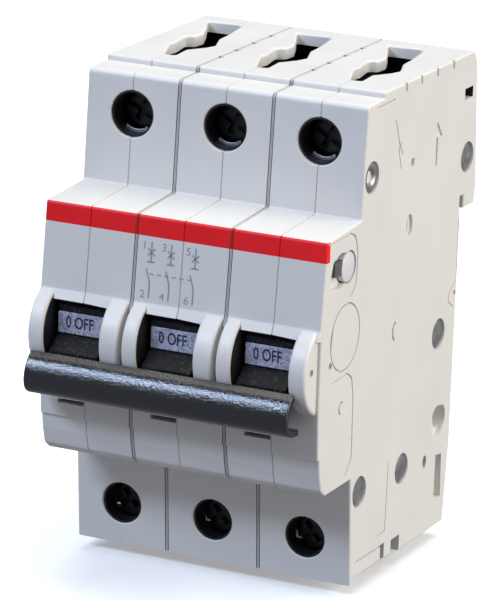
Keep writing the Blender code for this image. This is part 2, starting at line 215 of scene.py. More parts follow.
def ribbon(path, width):
    """The outline of a line of the given width along an open path."""
    left, right = [], []
    for i, point in enumerate(path):
        here = Vector(point)
        into = (here - Vector(path[i - 1])).normalized() if i else None
        out = (Vector(path[i + 1]) - here).normalized() if i + 1 < len(path) else into
        into = into or out
        first, second = Vector((-into.y, into.x)), Vector((-out.y, out.x))
        mitre = (first + second) / max(1 + first.dot(second), 0.3) * width / 2
        left.append(tuple(here + mitre))
        right.append(tuple(here - mitre))
    return left + right[::-1]


def turned(name, profile, centre, axis="y", count=48):
    """A profile of (radius, level) turned about an axis; its two ends lie on the axis."""
    order = {"x": (2, 0, 1), "y": (0, 2, 1), "z": (0, 1, 2)}[axis]
    points, rings = [], []
    for radius, level in profile:
        ring = []
        for i in range(count if radius > 0 else 1):
            angle = math.tau * i / count
            a = centre[0] + radius * math.cos(angle)
            b = centre[1] + radius * math.sin(angle)
            ring.append(len(points))
            points.append(tuple((a, b, level)[order[k]] for k in range(3)))
        rings.append(ring)
    faces = []
    for first, second in zip(rings, rings[1:]):
        for i in range(count):
            j = (i + 1) % count
            corners = [first[i % len(first)], first[j % len(first)]]
            corners += [second[j % len(second)], second[i % len(second)]]
            unique = list(dict.fromkeys(corners))
            if len(unique) > 2:
                faces.append(tuple(unique))
    return mesh_from(name, points, faces)


def smooth_path(points, per_span=5):
    """Points on a smooth curve through the given ones."""
    made = []
    for i in range(len(points) - 1):
        p1, p2 = Vector(points[i]), Vector(points[i + 1])
        p0 = Vector(points[i - 1]) if i else 2 * p1 - p2
        p3 = Vector(points[i + 2]) if i + 2 < len(points) else 2 * p2 - p1
        for k in range(per_span):
            t = k / per_span
            point = p1 * 2 + (p2 - p0) * t + (p0 * 2 - p1 * 5 + p2 * 4 - p3) * t**2
            point += (p1 * 3 - p0 - p2 * 3 + p3) * t**3
            made.append(tuple(point / 2))
    return made + [tuple(points[-1])]


def combined(mesh, others, operation):
    """The mesh joined with, or cut by, each of the others in turn."""
    for other in others:
        target = bpy.data.objects.new("target", mesh)
        tool = bpy.data.objects.new("tool", other)
        bpy.context.scene.collection.objects.link(target)
        bpy.context.scene.collection.objects.link(tool)
        step = target.modifiers.new("step", "BOOLEAN")
        step.operation = operation
        step.solver = "EXACT"
        step.object = tool
        graph = bpy.context.evaluated_depsgraph_get()
        mesh = bpy.data.meshes.new_from_object(target.evaluated_get(graph))
        bpy.data.objects.remove(target, do_unlink=True)
        bpy.data.objects.remove(tool, do_unlink=True)
    return mesh


def cut(mesh, *tools):
    return combined(mesh, tools, "DIFFERENCE")


def joined(mesh, *tools):
    return combined(mesh, tools, "UNION")


def finish_mesh(mesh, rim=None):
    """Smooth shading with sharp creases; rim(point in mm) gives the bevel weight of a crease."""
    bm = bmesh.new()
    bm.from_mesh(mesh)
    weight = bm.edges.layers.float.new("bevel_weight_edge")
    for face in bm.faces:
        face.smooth = True
    for edge in bm.edges:
        crease = len(edge.link_faces) == 2 and edge.calc_face_angle() > SHARP_ANGLE
        edge.smooth = not crease
        if crease and rim:
            middle = (edge.verts[0].co + edge.verts[1].co) / 2 / MM
            edge[weight] = rim(middle)
    bm.to_mesh(mesh)
    bm.free()


def piece(name, mesh, looks, body, replaced=(), x=0.0, rim=None, width=0.0):
    """A visible piece that rides on a body and stands for CAD nodes."""
    mesh = mesh.copy()
    mesh.name = name
    mesh.transform(Matrix.Translation((x * MM, 0, 0)))
    indices = [face.material_index for face in mesh.polygons]
    mesh.materials.clear()
    for look in looks:
        mesh.materials.append(look)
    for face, index in zip(mesh.polygons, indices):
        face.material_index = min(index, len(looks) - 1)
    local_rim = (lambda p: rim(Vector((p.x - x, p.y, p.z)))) if rim else None
    finish_mesh(mesh, local_rim)
    obj = bpy.data.objects.new(name, mesh)
    bpy.context.scene.collection.objects.link(obj)
    if width:
        bevel = obj.modifiers.new("edges", "BEVEL")
        bevel.limit_method = "WEIGHT"
        bevel.width = width * MM
        bevel.segments = 3
        bevel.use_clamp_overlap = False
        bevel.miter_outer = "MITER_ARC"
    normals = obj.modifiers.new("normals", "WEIGHTED_NORMAL")
    normals.keep_sharp = True
    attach(obj, body)
    if replaced:
        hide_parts(*replaced)
    return obj


# ---------------------------------------------------------------- materials


def surface(
    name,
    colour,
    roughness,
    metallic=0.0,
    mottle=0.03,
    patch=70.0,
    grain=2600.0,
    bump=0.06,
    spread=0.05,
    stretch=(1.0, 1.0, 1.0),
    grit=None,
    specular=0.5,
):
    """A surface with mottled colour, uneven gloss and fine relief.

    Colour and gloss vary in patches, grain sets the relief, stretch draws both out along an axis,
    and grit is (scale, cut, colour) of fine specks.
    """
    made = bpy.data.materials.new(name)
    made.use_nodes = True
    nodes, links = made.node_tree.nodes, made.node_tree.links
    shader = nodes["Principled BSDF"]
    shader.inputs["Metallic"].default_value = metallic
    shader.inputs["Specular IOR Level"].default_value = specular
    coords = nodes.new("ShaderNodeTexCoord")
    mapping = nodes.new("ShaderNodeMapping")
    mapping.inputs["Scale"].default_value = stretch
    links.new(coords.outputs["Object"], mapping.inputs["Vector"])
    broad = nodes.new("ShaderNodeTexNoise")
    broad.inputs["Scale"].default_value = patch
    broad.inputs["Detail"].default_value = 4.0
    links.new(mapping.outputs["Vector"], broad.inputs["Vector"])
    tone = nodes.new("ShaderNodeValToRGB")
    tone.color_ramp.elements[0].position = 0.3
    tone.color_ramp.elements[1].position = 0.7
    tone.color_ramp.elements[0].color = (*[c * (1 - mottle) for c in colour], 1)
    tone.color_ramp.elements[1].color = (*[min(c * (1 + mottle), 1) for c in colour], 1)
    links.new(broad.outputs["Fac"], tone.inputs["Fac"])
    shade = tone.outputs["Color"]
    if grit:
        specks = nodes.new("ShaderNodeTexNoise")
        specks.inputs["Scale"].default_value = grit[0]
        specks.inputs["Detail"].default_value = 2.0
        links.new(mapping.outputs["Vector"], specks.inputs["Vector"])
        edge = nodes.new("ShaderNodeMapRange")
        edge.inputs["From Min"].default_value = grit[1]
        edge.inputs["From Max"].default_value = grit[1] + 0.06
        links.new(specks.outputs["Fac"], edge.inputs["Value"])
        mix = nodes.new("ShaderNodeMix")
        mix.data_type = "RGBA"
        links.new(edge.outputs["Result"], mix.inputs["Factor"])
        links.new(shade, mix.inputs["A"])
        mix.inputs["B"].default_value = (*grit[2], 1)
        shade = mix.outputs["Result"]
    links.new(shade, shader.inputs["Base Color"])
    gloss = nodes.new("ShaderNodeMapRange")
    gloss.inputs["From Min"].default_value = 0.3
    gloss.inputs["From Max"].default_value = 0.7
    gloss.inputs["To Min"].default_value = max(roughness - spread, 0.02)
    gloss.inputs["To Max"].default_value = min(roughness + spread, 1.0)
    links.new(broad.outputs["Fac"], gloss.inputs["Value"])
    links.new(gloss.outputs["Result"], shader.inputs["Roughness"])
    fine = nodes.new("ShaderNodeTexNoise")
    fine.inputs["Scale"].default_value = grain
    fine.inputs["Detail"].default_value = 3.0
    links.new(mapping.outputs["Vector"], fine.inputs["Vector"])
    relief = nodes.new("ShaderNodeBump")
    relief.inputs["Strength"].default_value = bump
    relief.inputs["Distance"].default_value = 0.0001
    links.new(fine.outputs["Fac"], relief.inputs["Height"])
    links.new(relief.outputs["Normal"], shader.inputs["Normal"])
    return made


HOUSING = surface("housing_plastic", (0.70, 0.675, 0.635), 0.42, mottle=0.02, bump=0.05)
BAND = surface("red_band", (0.84, 0.010, 0.014), 0.45, mottle=0.05, bump=0.04, specular=0.3)
# Painted shade: near black for the cavity walls, the faces beside the handles and the screwdriver
# bores, where the light plastic lies in shade.
PAINTED_SHADE = surface("inside_shadow", (0.006, 0.006, 0.007), 0.6, mottle=0.2)
# Painted shade: mid grey at the bottom of the narrow groove between poles, where the crevice lies
# in shade.
SEAM_SHADE = surface("seam_painted_shade", (0.26, 0.255, 0.25), 0.6, mottle=0.15)
SHELL_LOOKS = [HOUSING, BAND, SEAM_SHADE, PAINTED_SHADE]
HANDLE = surface(
    "handle_black", (0.006, 0.006, 0.007), 0.45, mottle=0.4, patch=260, grain=1800, bump=0.8,
    grit=(1500.0, 0.60, (0.035, 0.034, 0.037)), specular=0.25,
)
TIE_BAR = surface(
    "tie_bar_black", (0.004, 0.004, 0.005), 0.15, mottle=0.3, patch=300, grain=3000, bump=0.8,
    spread=0.03, specular=1.0,
)
PLATE = surface(
    "plate_lilac", (0.43, 0.43, 0.53), 0.5, mottle=0.35, patch=1500, grain=3000, bump=0.6,
    grit=(3000.0, 0.58, (0.13, 0.13, 0.18)),
)
INK = surface("mark_ink", (0.02, 0.02, 0.045), 0.6, mottle=0.3, patch=900)
PRINT = surface("symbol_grey", (0.30, 0.30, 0.315), 0.6, mottle=0.1, patch=500)
STEEL = surface(
    "zinc_plated_steel", (0.42, 0.42, 0.43), 0.38, 1.0, mottle=0.12, patch=400, grain=1500,
    bump=0.15, spread=0.08, stretch=(1, 3, 1),
)
# Painted shade: the screw steel is darkened far below plain steel, because the heads lie deep in
# their holes.
SHADED_SCREW = surface(
    "screw_steel_painted_shade", (0.045, 0.045, 0.047), 0.42, 1.0, mottle=0.25, patch=500, grain=1500, bump=0.2,
    spread=0.1,
)
RIVET = surface(
    "rivet_steel", (0.42, 0.41, 0.40), 0.42, 1.0, mottle=0.15, patch=500, grain=1200, bump=0.25,
    spread=0.1,
)
COPPER = surface(
    "bare_copper", (0.36, 0.19, 0.12), 0.42, 1.0, mottle=0.12, patch=250, grain=1400, bump=0.15,
    spread=0.08, stretch=(1, 0.3, 1),
)
WINDING = surface("enamelled_wire", (0.50, 0.17, 0.07), 0.28, 1.0, mottle=0.1, patch=300)
STRIP = surface("bimetal", (0.56, 0.52, 0.43), 0.40, 1.0, mottle=0.12, patch=300, bump=0.15)
FIBRE = surface("chute_fibre", (0.42, 0.13, 0.08), 0.75, mottle=0.15, patch=400, bump=0.3)
SHAFT = surface(
    "trip_shaft_white", (0.66, 0.65, 0.68), 0.42, mottle=0.06, patch=600, grain=2200, bump=0.25,
)
ARM = surface("trip_arm_dark", (0.10, 0.095, 0.09), 0.5, mottle=0.2, patch=600, bump=0.2)
CLIP = surface("clip_grey", (0.20, 0.20, 0.21), 0.5, mottle=0.08, patch=200, bump=0.15)


# ---------------------------------------------------------------- housing


def housing_outline():
    """Side view of the housing with its rounded corners, without the cheeks beside the handles."""
    corners = [(-41.2, -42.0, 0), (-42.8, -22.5, 0.35), (-53.2, -22.5, 1.2), (-54.9, -21.2, 1.2)]
    corners += [(-55.7, -18.3, 1.5), (-56.1, -15.65, 0), (-56.6, -15.4, 0), (-57.1, -7.2, 1.0)]
    corners += [(-57.15, 5.1, 0), (-58.25, 5.4, 0), (-57.4, 7.2, 0.9)]
    corners += [(-55.95, 21.85, 0.75), (-42.8, 22.6, 0.5), (-41.65, 41.9, 1.1), (-35.0, 42.0, 0)]
    corners += [(-35.0, 43.0, 0.85), (3.3, 43.0, 0.7), (4.7, 41.0, 0.8), (6.6, 18.5, 0.9)]
    corners += [(6.1, 15.2, 0.6), (1.3, 15.2, 0), (1.3, 17.6, 0), (-0.4, 17.6, 0)]
    corners += [(-0.4, 15.0, 0), (0.0, 15.0, 0)]
    corners += [(0.0, -27.0, 1.0), (-1.5, -41.6, 0.6), (-20.5, -41.6, 0), (-29.0, -41.0, 0)]
    corners += [(-40.2, -41.0, 0), (-40.2, -42.0, 0)]
    return rounded(corners)


def cavity_outline():
    outline = [(-39.9, -39.6), (-40.4, -20.9), (-52.8, -20.9), (-54.4, -17.0)]
    outline += [(-55.4, -8.0), (-55.8, 5.2), (-54.4, 20.1), (-41.0, 20.9)]
    outline += [(-39.9, 41.0), (2.6, 41.0), (4.7, 19.5), (-1.6, 19.5)]
    outline += [(-1.6, -14.0), (-6.4, -14.0), (-6.4, -39.6)]
    return outline


def cheek_outline():
    """Rounded band that stands out beside each handle window."""
    outline = circle((-54.0, -0.2), 8.0, 72)
    outline = [p for p in outline if p[0] < -56.2]
    outline.sort(key=lambda p: p[1])
    return outline + [(-55.0, outline[-1][1]), (-55.0, outline[0][1])]


def mouth_outline():
    """Keyhole-shaped mouth over an upper terminal (X, Y)."""
    corners = [(-6.1, -1.2, 0.5), (0.8, -1.2, 0.9), (2.0, -10.0, 1.2), (2.2, -13.5, 1.0)]
    corners += [(4.0, -18.8, 1.1), (3.2, -21.2, 1.0), (1.2, -24.4, 0.9), (1.6, -29.4, 0.5)]
    corners += [(-0.4, -29.6, 0.5), (-3.3, -21.4, 1.0), (-3.0, -19.7, 0.8), (-3.9, -14.4, 1.2)]
    corners += [(-2.3, -13.8, 0.9), (-2.1, -10.8, 0.9), (-3.8, -6.3, 1.0)]
    return rounded(corners, 4)


def half_layers(outer):
    """Layers of a half shell from the parting plane to its side; the outer sides are flat."""
    layers = [(0.004, 0.22), (0.07, 0.16), (0.12, 0.0)]
    if outer:
        radius = 0.36
        for k in range(5):
            a = math.radians(22.5 * k)
            layers.append((OUTER_HALF - radius * (1 - math.sin(a)), radius * (1 - math.cos(a))))
        return layers
    layers += [(8.38, 0.0), (SEAM_GROOVE[0], 0.08), (8.45, 0.34), (8.53, 0.34)]
    return layers + [(SEAM_GROOVE[1], 0.12), (8.6, 0.07), (8.68, 0.1), (SEAM_HALF, 0.3)]


def side_details(tip):
    """Cutters for the flat outer side, whose face lies at X = tip; they reach in by their depth."""
    tools = []

    def sunk(name, outline, depth):
        tools.append(prism(name, outline, tip - depth, tip + 1))

    for name, centre in RIVETS.items():
        sunk(name, circle(centre, RIVET_HOLE[0]), RIVET_HOLE[1])
    sunk("shaft_seat", circle(TRIP_AXIS, 2.85), 1.6)
    slot = [(-55.0, 13.6, 0.4), (-53.4, 18.2, 0.8), (-50.4, 18.9, 0.5), (-47.0, 18.4, 0)]
    slot += [(-47.0, 13.6, 0), (-50.6, 12.8, 0.5)]
    sunk("arm_slot", rounded(slot), 1.1)
    panel = rounded([(-55.6, 21.35, 0), (-47.2, 21.5, 1.2), (-44.9, 20.6, 2.0), (-43.8, 17.6, 2.0),
                     (-43.9, 12.6, 1.6), (-45.6, 10.6, 1.5), (-55.0, 10.5, 0)])[: -1]
    sunk("trip_panel", ribbon(panel, 0.34), 0.3)
    tools.append(ring_cutter("knock_out", (-47.6, 3.8), 5.75, 0.3, tip - 0.45, tip + 1))
    wedge = [(-53.6, 3.6), (-52.3, 6.9), (-52.95, 4.3), (-53.0, 2.7)]
    sunk("knock_out_notch", wedge, 0.6)
    sunk("pin_hole", circle((-53.2, 0.1), 0.62, 24), 1.0)
    lower = rounded([(-52.3, -3.0, 0), (-46.4, -2.8, 1.5), (-44.2, -4.0, 1.8), (-43.3, -8.0, 2.0),
                     (-43.0, -18.6, 1.6), (-45.2, -20.9, 1.4), (-50.5, -21.2, 0)])[: -1]
    sunk("lower_panel", ribbon(lower, 0.34), 0.3)
    front_comma = smooth_path([(-47.6, -7.4), (-48.7, -7.9), (-48.9, -8.7), (-48.3, -9.5)])
    sunk("front_comma", ribbon(front_comma, 0.5), 0.4)
    rear_comma = smooth_path([(-26.6, 1.3), (-27.5, 0.6), (-27.6, -0.8), (-26.9, -2.0)])
    sunk("rear_comma", ribbon(rear_comma, 0.6), 0.4)
    sunk("ejector", circle((-6.0, -21.9), 2.85), 0.9)
    sunk("oval", circle((-22.5, 17.4), 1.25, 32, stretch=1.6), 0.5)
    sunk("oval_slot", box_outline((-22.75, -22.25), (16.0, 18.8)), 1.0)
    sunk("ejector_core", circle((-4.4, -21.5), 1.75, 32, stretch=1.25), 2.6)
    sunk("small_hole", circle((-11.0, -28.1), 0.75, 24, stretch=1.6), 3.0)
    recess = [(-6.0, -28.2), (-3.5, -28.6), (-3.1, -36.6), (-6.2, -36.1)]
    sunk("rear_recess", recess, 2.2)
    sunk("rear_border", ribbon([(-0.6, 13.5), (-0.6, 2.9)], 0.2), 0.2)
    ear = smooth_path([(-0.5, 2.5), (-3.3, 1.0), (-3.4, -0.7), (-1.4, -2.0)])
    sunk("ear", ribbon(ear, 0.25), 0.2)
    sunk("ear_hole", circle((-0.95, 0.4), 0.45, 24), 1.2)
    sunk("bar_mark", soft_box((-23.2, -21.6), (27.7, 29.1), 0.3), 0.5)
    sunk("thin_line", ribbon([(-27.0, -23.6), (-27.4, -36.0), (-30.5, -36.1)], 0.26), 0.25)
    sunk("top_line", ribbon([(-38.4, 41.0), (-31.0, 41.1)], 0.24), 0.3)
    sunk("foot_line", ribbon([(-39.4, -38.2), (-28.6, -38.4)], 0.28), 0.35)
    arrow = [(-12.0, 25.6), (-12.0, 31.2)]
    sunk("arrow_shaft", ribbon(arrow, 0.7), 0.3)
    sunk("arrow_head", [(-14.2, 30.6), (-9.8, 30.6), (-12.0, 33.4)], 0.3)
    return tools


def half_shell(pole, side):
    """One half of a pole's housing, around X = 0; side is -1 for the left and 1 for the right."""
    outer = (pole, side) in ((1, -1), (3, 1))
    body = layered("shell", housing_outline(), half_layers(outer))
    # The foot shows no parting line, so its front is filled up to the parting plane.
    for vertex in body.vertices:
        if vertex.co.y < -40.6 * MM and vertex.co.z < -22.7 * MM:
            for level, distance in half_layers(outer)[:2]:
                if abs(vertex.co.x - level * MM) < 1e-6:
                    vertex.co.y -= distance * 0.98 * MM
    body = cut(body, prism("cavity", cavity_outline(), -1.0, CAVITY_HALF))
    if side < 0:
        near, far = CHEEK_INNER[0], 8.5 if outer else 8.36
    else:
        near, far = CHEEK_INNER[1], 8.02 if outer else 8.36
    window_edge = -WINDOW_X[0] if side < 0 else WINDOW_X[1]
    body = cut(body, box("window", (-1, window_edge), (-64, -54), WINDOW_Z))
    body = joined(body, soft_prism("cheek", cheek_outline(), near, far, 0.55, steps=4))
    tools = [
        prism("upper_hole", circle((0, SCREW_Z["upper"]), HOLE_R["upper"], 64), -45, -38, "y"),
        prism("lower_hole", circle((0, SCREW_Z["lower"]), HOLE_R["lower"], 64), -45, -38, "y"),
        box("lower_mouth", (-3.9, 3.9), (-29.0, -13.5), (-43.5, -38.5)),
        box("channel_inner", (-4.9, 4.9), (-5.2, -2.2), (-43.0, -17.6)),
        box("channel_outer", (-3.8, 3.8), (-2.3, 2.0), (-43.0, -15.8)),
        box("guard_slot", (-1, 10), (-28.9, -27.3), (-43.0, -38.2)),
        box("guard_notch", (-1, 10), (-24.4, -20.8), (-43.0, -38.6)),
        box("latch_slot", (5.6, 10), (-0.4, 3.1), (34.9, 36.9)),
    ]
    mouth = mouth_outline()
    if side < 0:
        mouth = [(-x, y) for x, y in mouth]
    tools.append(prism("upper_mouth", mouth, 39.0, 45.0, "z"))
    if side < 0:
        tools.append(box("front_slot", (0.15, 5.1), (-58.0, -54.0), (-13.1, -12.3)))
    for y in (-26.2, -19.8, -13.0, -6.0):
        tools.append(box("notch", (OUTER_HALF - 0.35, 10), (y - 0.4, y + 0.4), (41.5, 44)))
    if outer:
        tools += side_details(OUTER_HALF)
        if side > 0:
            tools.append(prism("cheek_pin", circle((-59.3, 0.4), 0.62, 24), 5.6, 9))
    body = cut(body, *tools)
    if side < 0:
        body.transform(Matrix.Scale(-1, 4, (1, 0, 0)))
        body.flip_normals()
    mark_regions(body, outer)
    return body


def in_cavity(point):
    """Whether a face with this middle point belongs to the walls of the cavity."""
    if abs(point.x) > CAVITY_HALF + 0.01:
        return False
    if abs(point.x) > CAVITY_HALF - 0.01:
        return True
    outline = [Vector(corner) for corner in cavity_outline()]
    here = Vector((point.y, point.z))
    for start, end in zip(outline, outline[1:] + outline[:1]):
        near, part = intersect_point_line(here, start, end)
        if 0 <= part <= 1 and (Vector(near[:2]) - here).length < 0.02:
            return True
    return False


def mark_regions(mesh, outer):
    """Cuts out the coloured band, and gives every face its place in SHELL_LOOKS; cavity walls,
    faces beside the handles and seam grooves get painted shade.
    """
    bm = bmesh.new()
    bm.from_mesh(mesh)
    everything = bm.verts[:] + bm.edges[:] + bm.faces[:]
    bmesh.ops.bisect_plane(
        bm, geom=everything, plane_co=(0, BAND_WRAP_Y * MM, 0), plane_no=(0, 1, 0), dist=1e-7
    )
    for level in BAND_Z:
        front = [f for f in bm.faces if f.calc_center_median().y < BAND_WRAP_Y * MM]
        edges = {e for f in front for e in f.edges}
        verts = {v for f in front for v in f.verts}
        bmesh.ops.bisect_plane(
            bm,
            geom=list(verts) + list(edges) + front,
            plane_co=(0, 0, level * MM),
            plane_no=(0, 0, 1),
            dist=1e-7,
        )
    for face in bm.faces:
        middle = face.calc_center_median() / MM
        in_band = middle.y < BAND_WRAP_Y and BAND_Z[0] < middle.z < BAND_Z[1]
        # The groove between poles gets painted shade.
        in_seam_shade = not outer and SEAM_GROOVE[0] < abs(middle.x) < SEAM_GROOVE[1]
        look = SEAM_SHADE if in_seam_shade else BAND if in_band else HOUSING
        gap = min(abs(abs(middle.x) - inner) for inner in CHEEK_INNER)
        beside_toggle = middle.y < -56.0 and gap < 0.01 and abs(face.normal.x) > 0.99
        # Cavity walls and the cheek faces beside the handle get painted shade instead of the
        # plastic's own colour.
        if in_cavity(middle) or beside_toggle:
            look = PAINTED_SHADE
        face.material_index = SHELL_LOOKS.index(look)
    bm.to_mesh(mesh)
    bm.free()


def housing_rim(point):
    """How much of the bevel width a crease of the housing takes."""
    for end, z in SCREW_Z.items():
        across = math.hypot(point.x, point.z - z)
        if point.y < -41.0 and abs(across - HOLE_R[end]) < 0.1:
            return 1.0
    if point.z > 42.9 and 0.15 < abs(point.x) < 7.0 and -31.0 < point.y < -0.9:
        return 1.6
    if point.y < -57.0 and 5.0 < point.z < 5.5 and abs(point.x) < 6.2:
        return 0.7
    return 0.0


# ---------------------------------------------------------------- small parts


def polar(radius, degrees):
    angle = math.radians(degrees)
    return PIVOT[0] + radius * math.cos(angle), PIVOT[1] + radius * math.sin(angle)


def toggle():
    """Handle of one pole: drum, flat for the marking and lever."""
    drum = [polar(5.6, d) for d in range(-60, 138, 6)]
    drum += [polar(5.6, d) for d in range(223, 288, 7)]
    body = soft_prism("drum", drum, -5.2, 4.4, 0.2)
    along = Vector((math.cos(LEVER_ANGLE), math.sin(LEVER_ANGLE)))
    across = Vector((-along.y, along.x))
    centre = Vector(PIVOT)
    corners = [(2.5, 1.9), (7.6, 1.85), (8.3, 1.1), (9.2, 1.1), (9.2, -1.1), (8.3, -1.1)]
    corners += [(7.6, -1.85), (2.5, -1.9)]
    lever = [tuple(centre + along * a + across * b) for a, b in corners]
    body = joined(body, soft_prism("lever", lever, -5.0, 4.2, 0.15))
    axle = prism("axle", circle(PIVOT, 1.5, 32), -6.9, 6.9)
    groove = box("groove", (2.1, 3.9), (-51.1, -46.0), (0.9, 8.0))
    return joined(cut(body, groove), axle)


def tie_bar():
    """Hollow grip over the three levers."""
    outer = [(-61.9, -2.95), (-63.35, -4.0), (-64.3, -5.7), (-64.6, -7.5), (-64.15, -9.05)]
    outer += [(-62.9, -10.0), (-61.2, -10.4), (-59.4, -10.6)]
    inner = [(-59.5, -9.5), (-61.2, -9.3), (-62.5, -8.95), (-63.3, -8.3), (-63.5, -7.5)]
    inner += [(-63.2, -6.2), (-62.6, -4.95), (-61.4, -3.9)]
    return soft_prism("tie_bar", smooth_path(outer) + smooth_path(inner), -25.2, 23.7, 0.22)


def rivet(centre):
    """Tubular rivet through the three poles with a dished head in each side."""
    seat = HALF_WIDTH - RIVET_SEAT
    face = seat + 0.5
    half = [(1.6, seat), (2.45, seat), (2.58, seat + 0.12), (2.6, face - 0.22), (2.5, face - 0.06)]
    half += [(2.3, face), (1.85, face), (1.6, face - 0.12), (1.35, face - 0.45), (0.9, face - 0.6)]
    half += [(0, face - 0.62)]
    profile = [(r, -x) for r, x in reversed(half)] + half
    return turned("rivet", profile, centre, "x", 56)


def domed_rivet(centre):
    """Tubular rivet through the three poles with flat, slightly domed heads."""
    seat = HALF_WIDTH - RIVET_SEAT
    half = [(1.6, seat), (2.45, seat), (2.6, seat + 0.12), (2.6, seat + 0.3), (2.45, seat + 0.42)]
    half += [(1.8, seat + 0.5), (1.0, seat + 0.54), (0, seat + 0.55)]
    profile = [(r, -x) for r, x in reversed(half)] + half
    return turned("rivet", profile, centre, "x", 56)


def trip_shaft():
    shaft = [(0, -26.02), (2.3, -26.02), (2.5, -25.95), (2.6, -25.8)]
    shaft += [(2.6, 25.8), (2.5, 25.95), (2.3, 26.02), (0, 26.02)]
    return turned("trip_shaft", shaft, TRIP_AXIS, "x", 56)


def trip_arm_outline():
    """Side view of the coupling arm on each end of the trip shaft."""
    corners = [(-52.4, 15.0, 0.3), (-52.3, 17.3, 0.3), (-49.4, 17.5, 0), (-49.4, 14.8, 0)]
    return rounded(corners, 3)


def terminal_screw(z, turn):
    """Clamp screw with a combination slot."""
    profile = [(0, -37.95), (2.7, -38.0), (3.05, -37.9), (3.3, -37.6), (3.3, -35.95), (3.2, -35.8)]
    profile += [(2.45, -35.8), (2.45, -25.9), (1.8, -25.3), (0, -25.3)]
    screw = turned("screw", profile, (0, z), "y", 56)
    slot = box("slot", (-4.0, 4.0), (-39.0, -36.9), (-0.55, 0.55))
    cross = box("cross", (-0.6, 0.6), (-39.0, -36.9), (-2.1, 2.1))
    for tool in (slot, cross):
        tool.transform(Matrix.Rotation(turn, 4, "Y"))
        tool.transform(Matrix.Translation((0, 0, z * MM)))
    return cut(screw, slot, cross)


def bore_shade_sleeve(z, radius, front):
    """Sleeve of painted shade that lines a screwdriver hole behind its light rim."""
    sleeve = prism("sleeve", circle((0, z), radius + 0.02, 64), front, -38.3, "y")
    return cut(sleeve, prism("bore", circle((0, z), radius - 0.35, 64), -43, -37, "y"))


def bore_glint(z, radius):
    """Bright lower edge of the clamp cage, seen just inside an upper screwdriver hole."""
    turn = [math.radians(232 + 4 * k) for k in range(20)]
    outer = [((radius - 0.37) * math.cos(a), z + (radius - 0.37) * math.sin(a)) for a in turn]
    inner = [((radius - 1.0) * math.cos(a), z + 0.05 + (radius - 1.0) * math.sin(a)) for a in turn]
    return soft_prism("glint", outer + inner[::-1], -39.9, -39.4, 0.1, "y")


def text_mesh(words, height, thickness, weight=0.0):
    """Flat letters in the XY plane, in metres, centred on the origin."""
    curve = bpy.data.curves.new("words", "FONT")
    curve.body = words
    curve.size = height * MM
    curve.extrude = thickness * MM / 2
    curve.offset = weight * MM
    curve.align_x = "CENTER"
    curve.align_y = "CENTER"
    holder = bpy.data.objects.new("words", curve)
    bpy.context.scene.collection.objects.link(holder)
    graph = bpy.context.evaluated_depsgraph_get()
    mesh = bpy.data.meshes.new_from_object(holder.evaluated_get(graph))
    bpy.data.objects.remove(holder, do_unlink=True)
    return mesh


def label_matrix(x, z):
    """Places flat artwork on the sloping label face at (x, z); its +Z turns outwards."""
    foot, top = Vector((0, *LABEL_FOOT)), Vector((0, *LABEL_TOP))
    up = (top - foot).normalized()
    right = Vector((1, 0, 0))
    out = right.cross(up)
    place = foot + up * ((z - foot.z) / up.z) + out * 0.01
    place.x = x
    turn = Matrix((right, up, out)).transposed().to_4x4()
    return Matrix.Translation(place * MM) @ turn


def symbol_mesh():
    """The standard diagram of a three-pole breaker with its terminal numbers, slightly raised."""
    bm = bmesh.new()

    def add(mesh, matrix):
        mesh = mesh.copy()
        mesh.transform(matrix)
        bm.from_mesh(mesh)
        bpy.data.meshes.remove(mesh)

    def line(a, b, width=0.24):
        add(prism("line", ribbon([a, b], width), 0.0, 0.03, "z"), label_matrix(0, LABEL_FOOT[1]))

    def at(x, z):
        return x, (z - LABEL_FOOT[1]) / LABEL_UPRIGHT

    for x, top, bottom in ((-5.75, "1", "2"), (-2.1, "3", "4"), (2.4, "5", "6")):
        line(at(x, 17.5), at(x, 14.1))
        line(at(x - 0.7, 14.1), at(x + 0.7, 14.1))
        line(at(x - 0.65, 15.15), at(x + 0.65, 16.35))
        line(at(x - 0.65, 16.35), at(x + 0.65, 15.15))
        line(at(x - 0.75, 12.9), at(x, 10.7))
        line(at(x, 10.7), at(x, 8.0))
        add(text_mesh(top, 1.9, 0.03), label_matrix(x - 1.35, 16.75))
        add(text_mesh(bottom, 1.9, 0.03), label_matrix(x - 1.2, 8.5))
    for start in (-5.9, -4.5, -3.1, -1.7, -0.3, 1.1):
        line(at(start, 12.1), at(start + 0.8, 12.1), 0.18)
    mesh = bpy.data.meshes.new("symbol")
    bm.to_mesh(mesh)
    bm.free()
    return mesh


def side_symbol_mesh():
    """The standard switch diagram printed on the right side, as thin raised lines."""
    strokes = [[(-30.2, 37.3), (-28.4, 33.4), (-27.9, 32.4)], [(-27.3, 32.9), (-28.6, 31.9)]]
    strokes += [[(-28.6, 33.3), (-26.7, 30.8)], [(-28.6, 32.2), (-27.1, 28.3)]]
    mesh = None
    for stroke in strokes:
        line = prism("stroke", ribbon(stroke, 0.2), HALF_WIDTH, HALF_WIDTH + 0.03)
        mesh = joined(mesh, line) if mesh else line
    return mesh


# ---------------------------------------------------------------- building the pieces


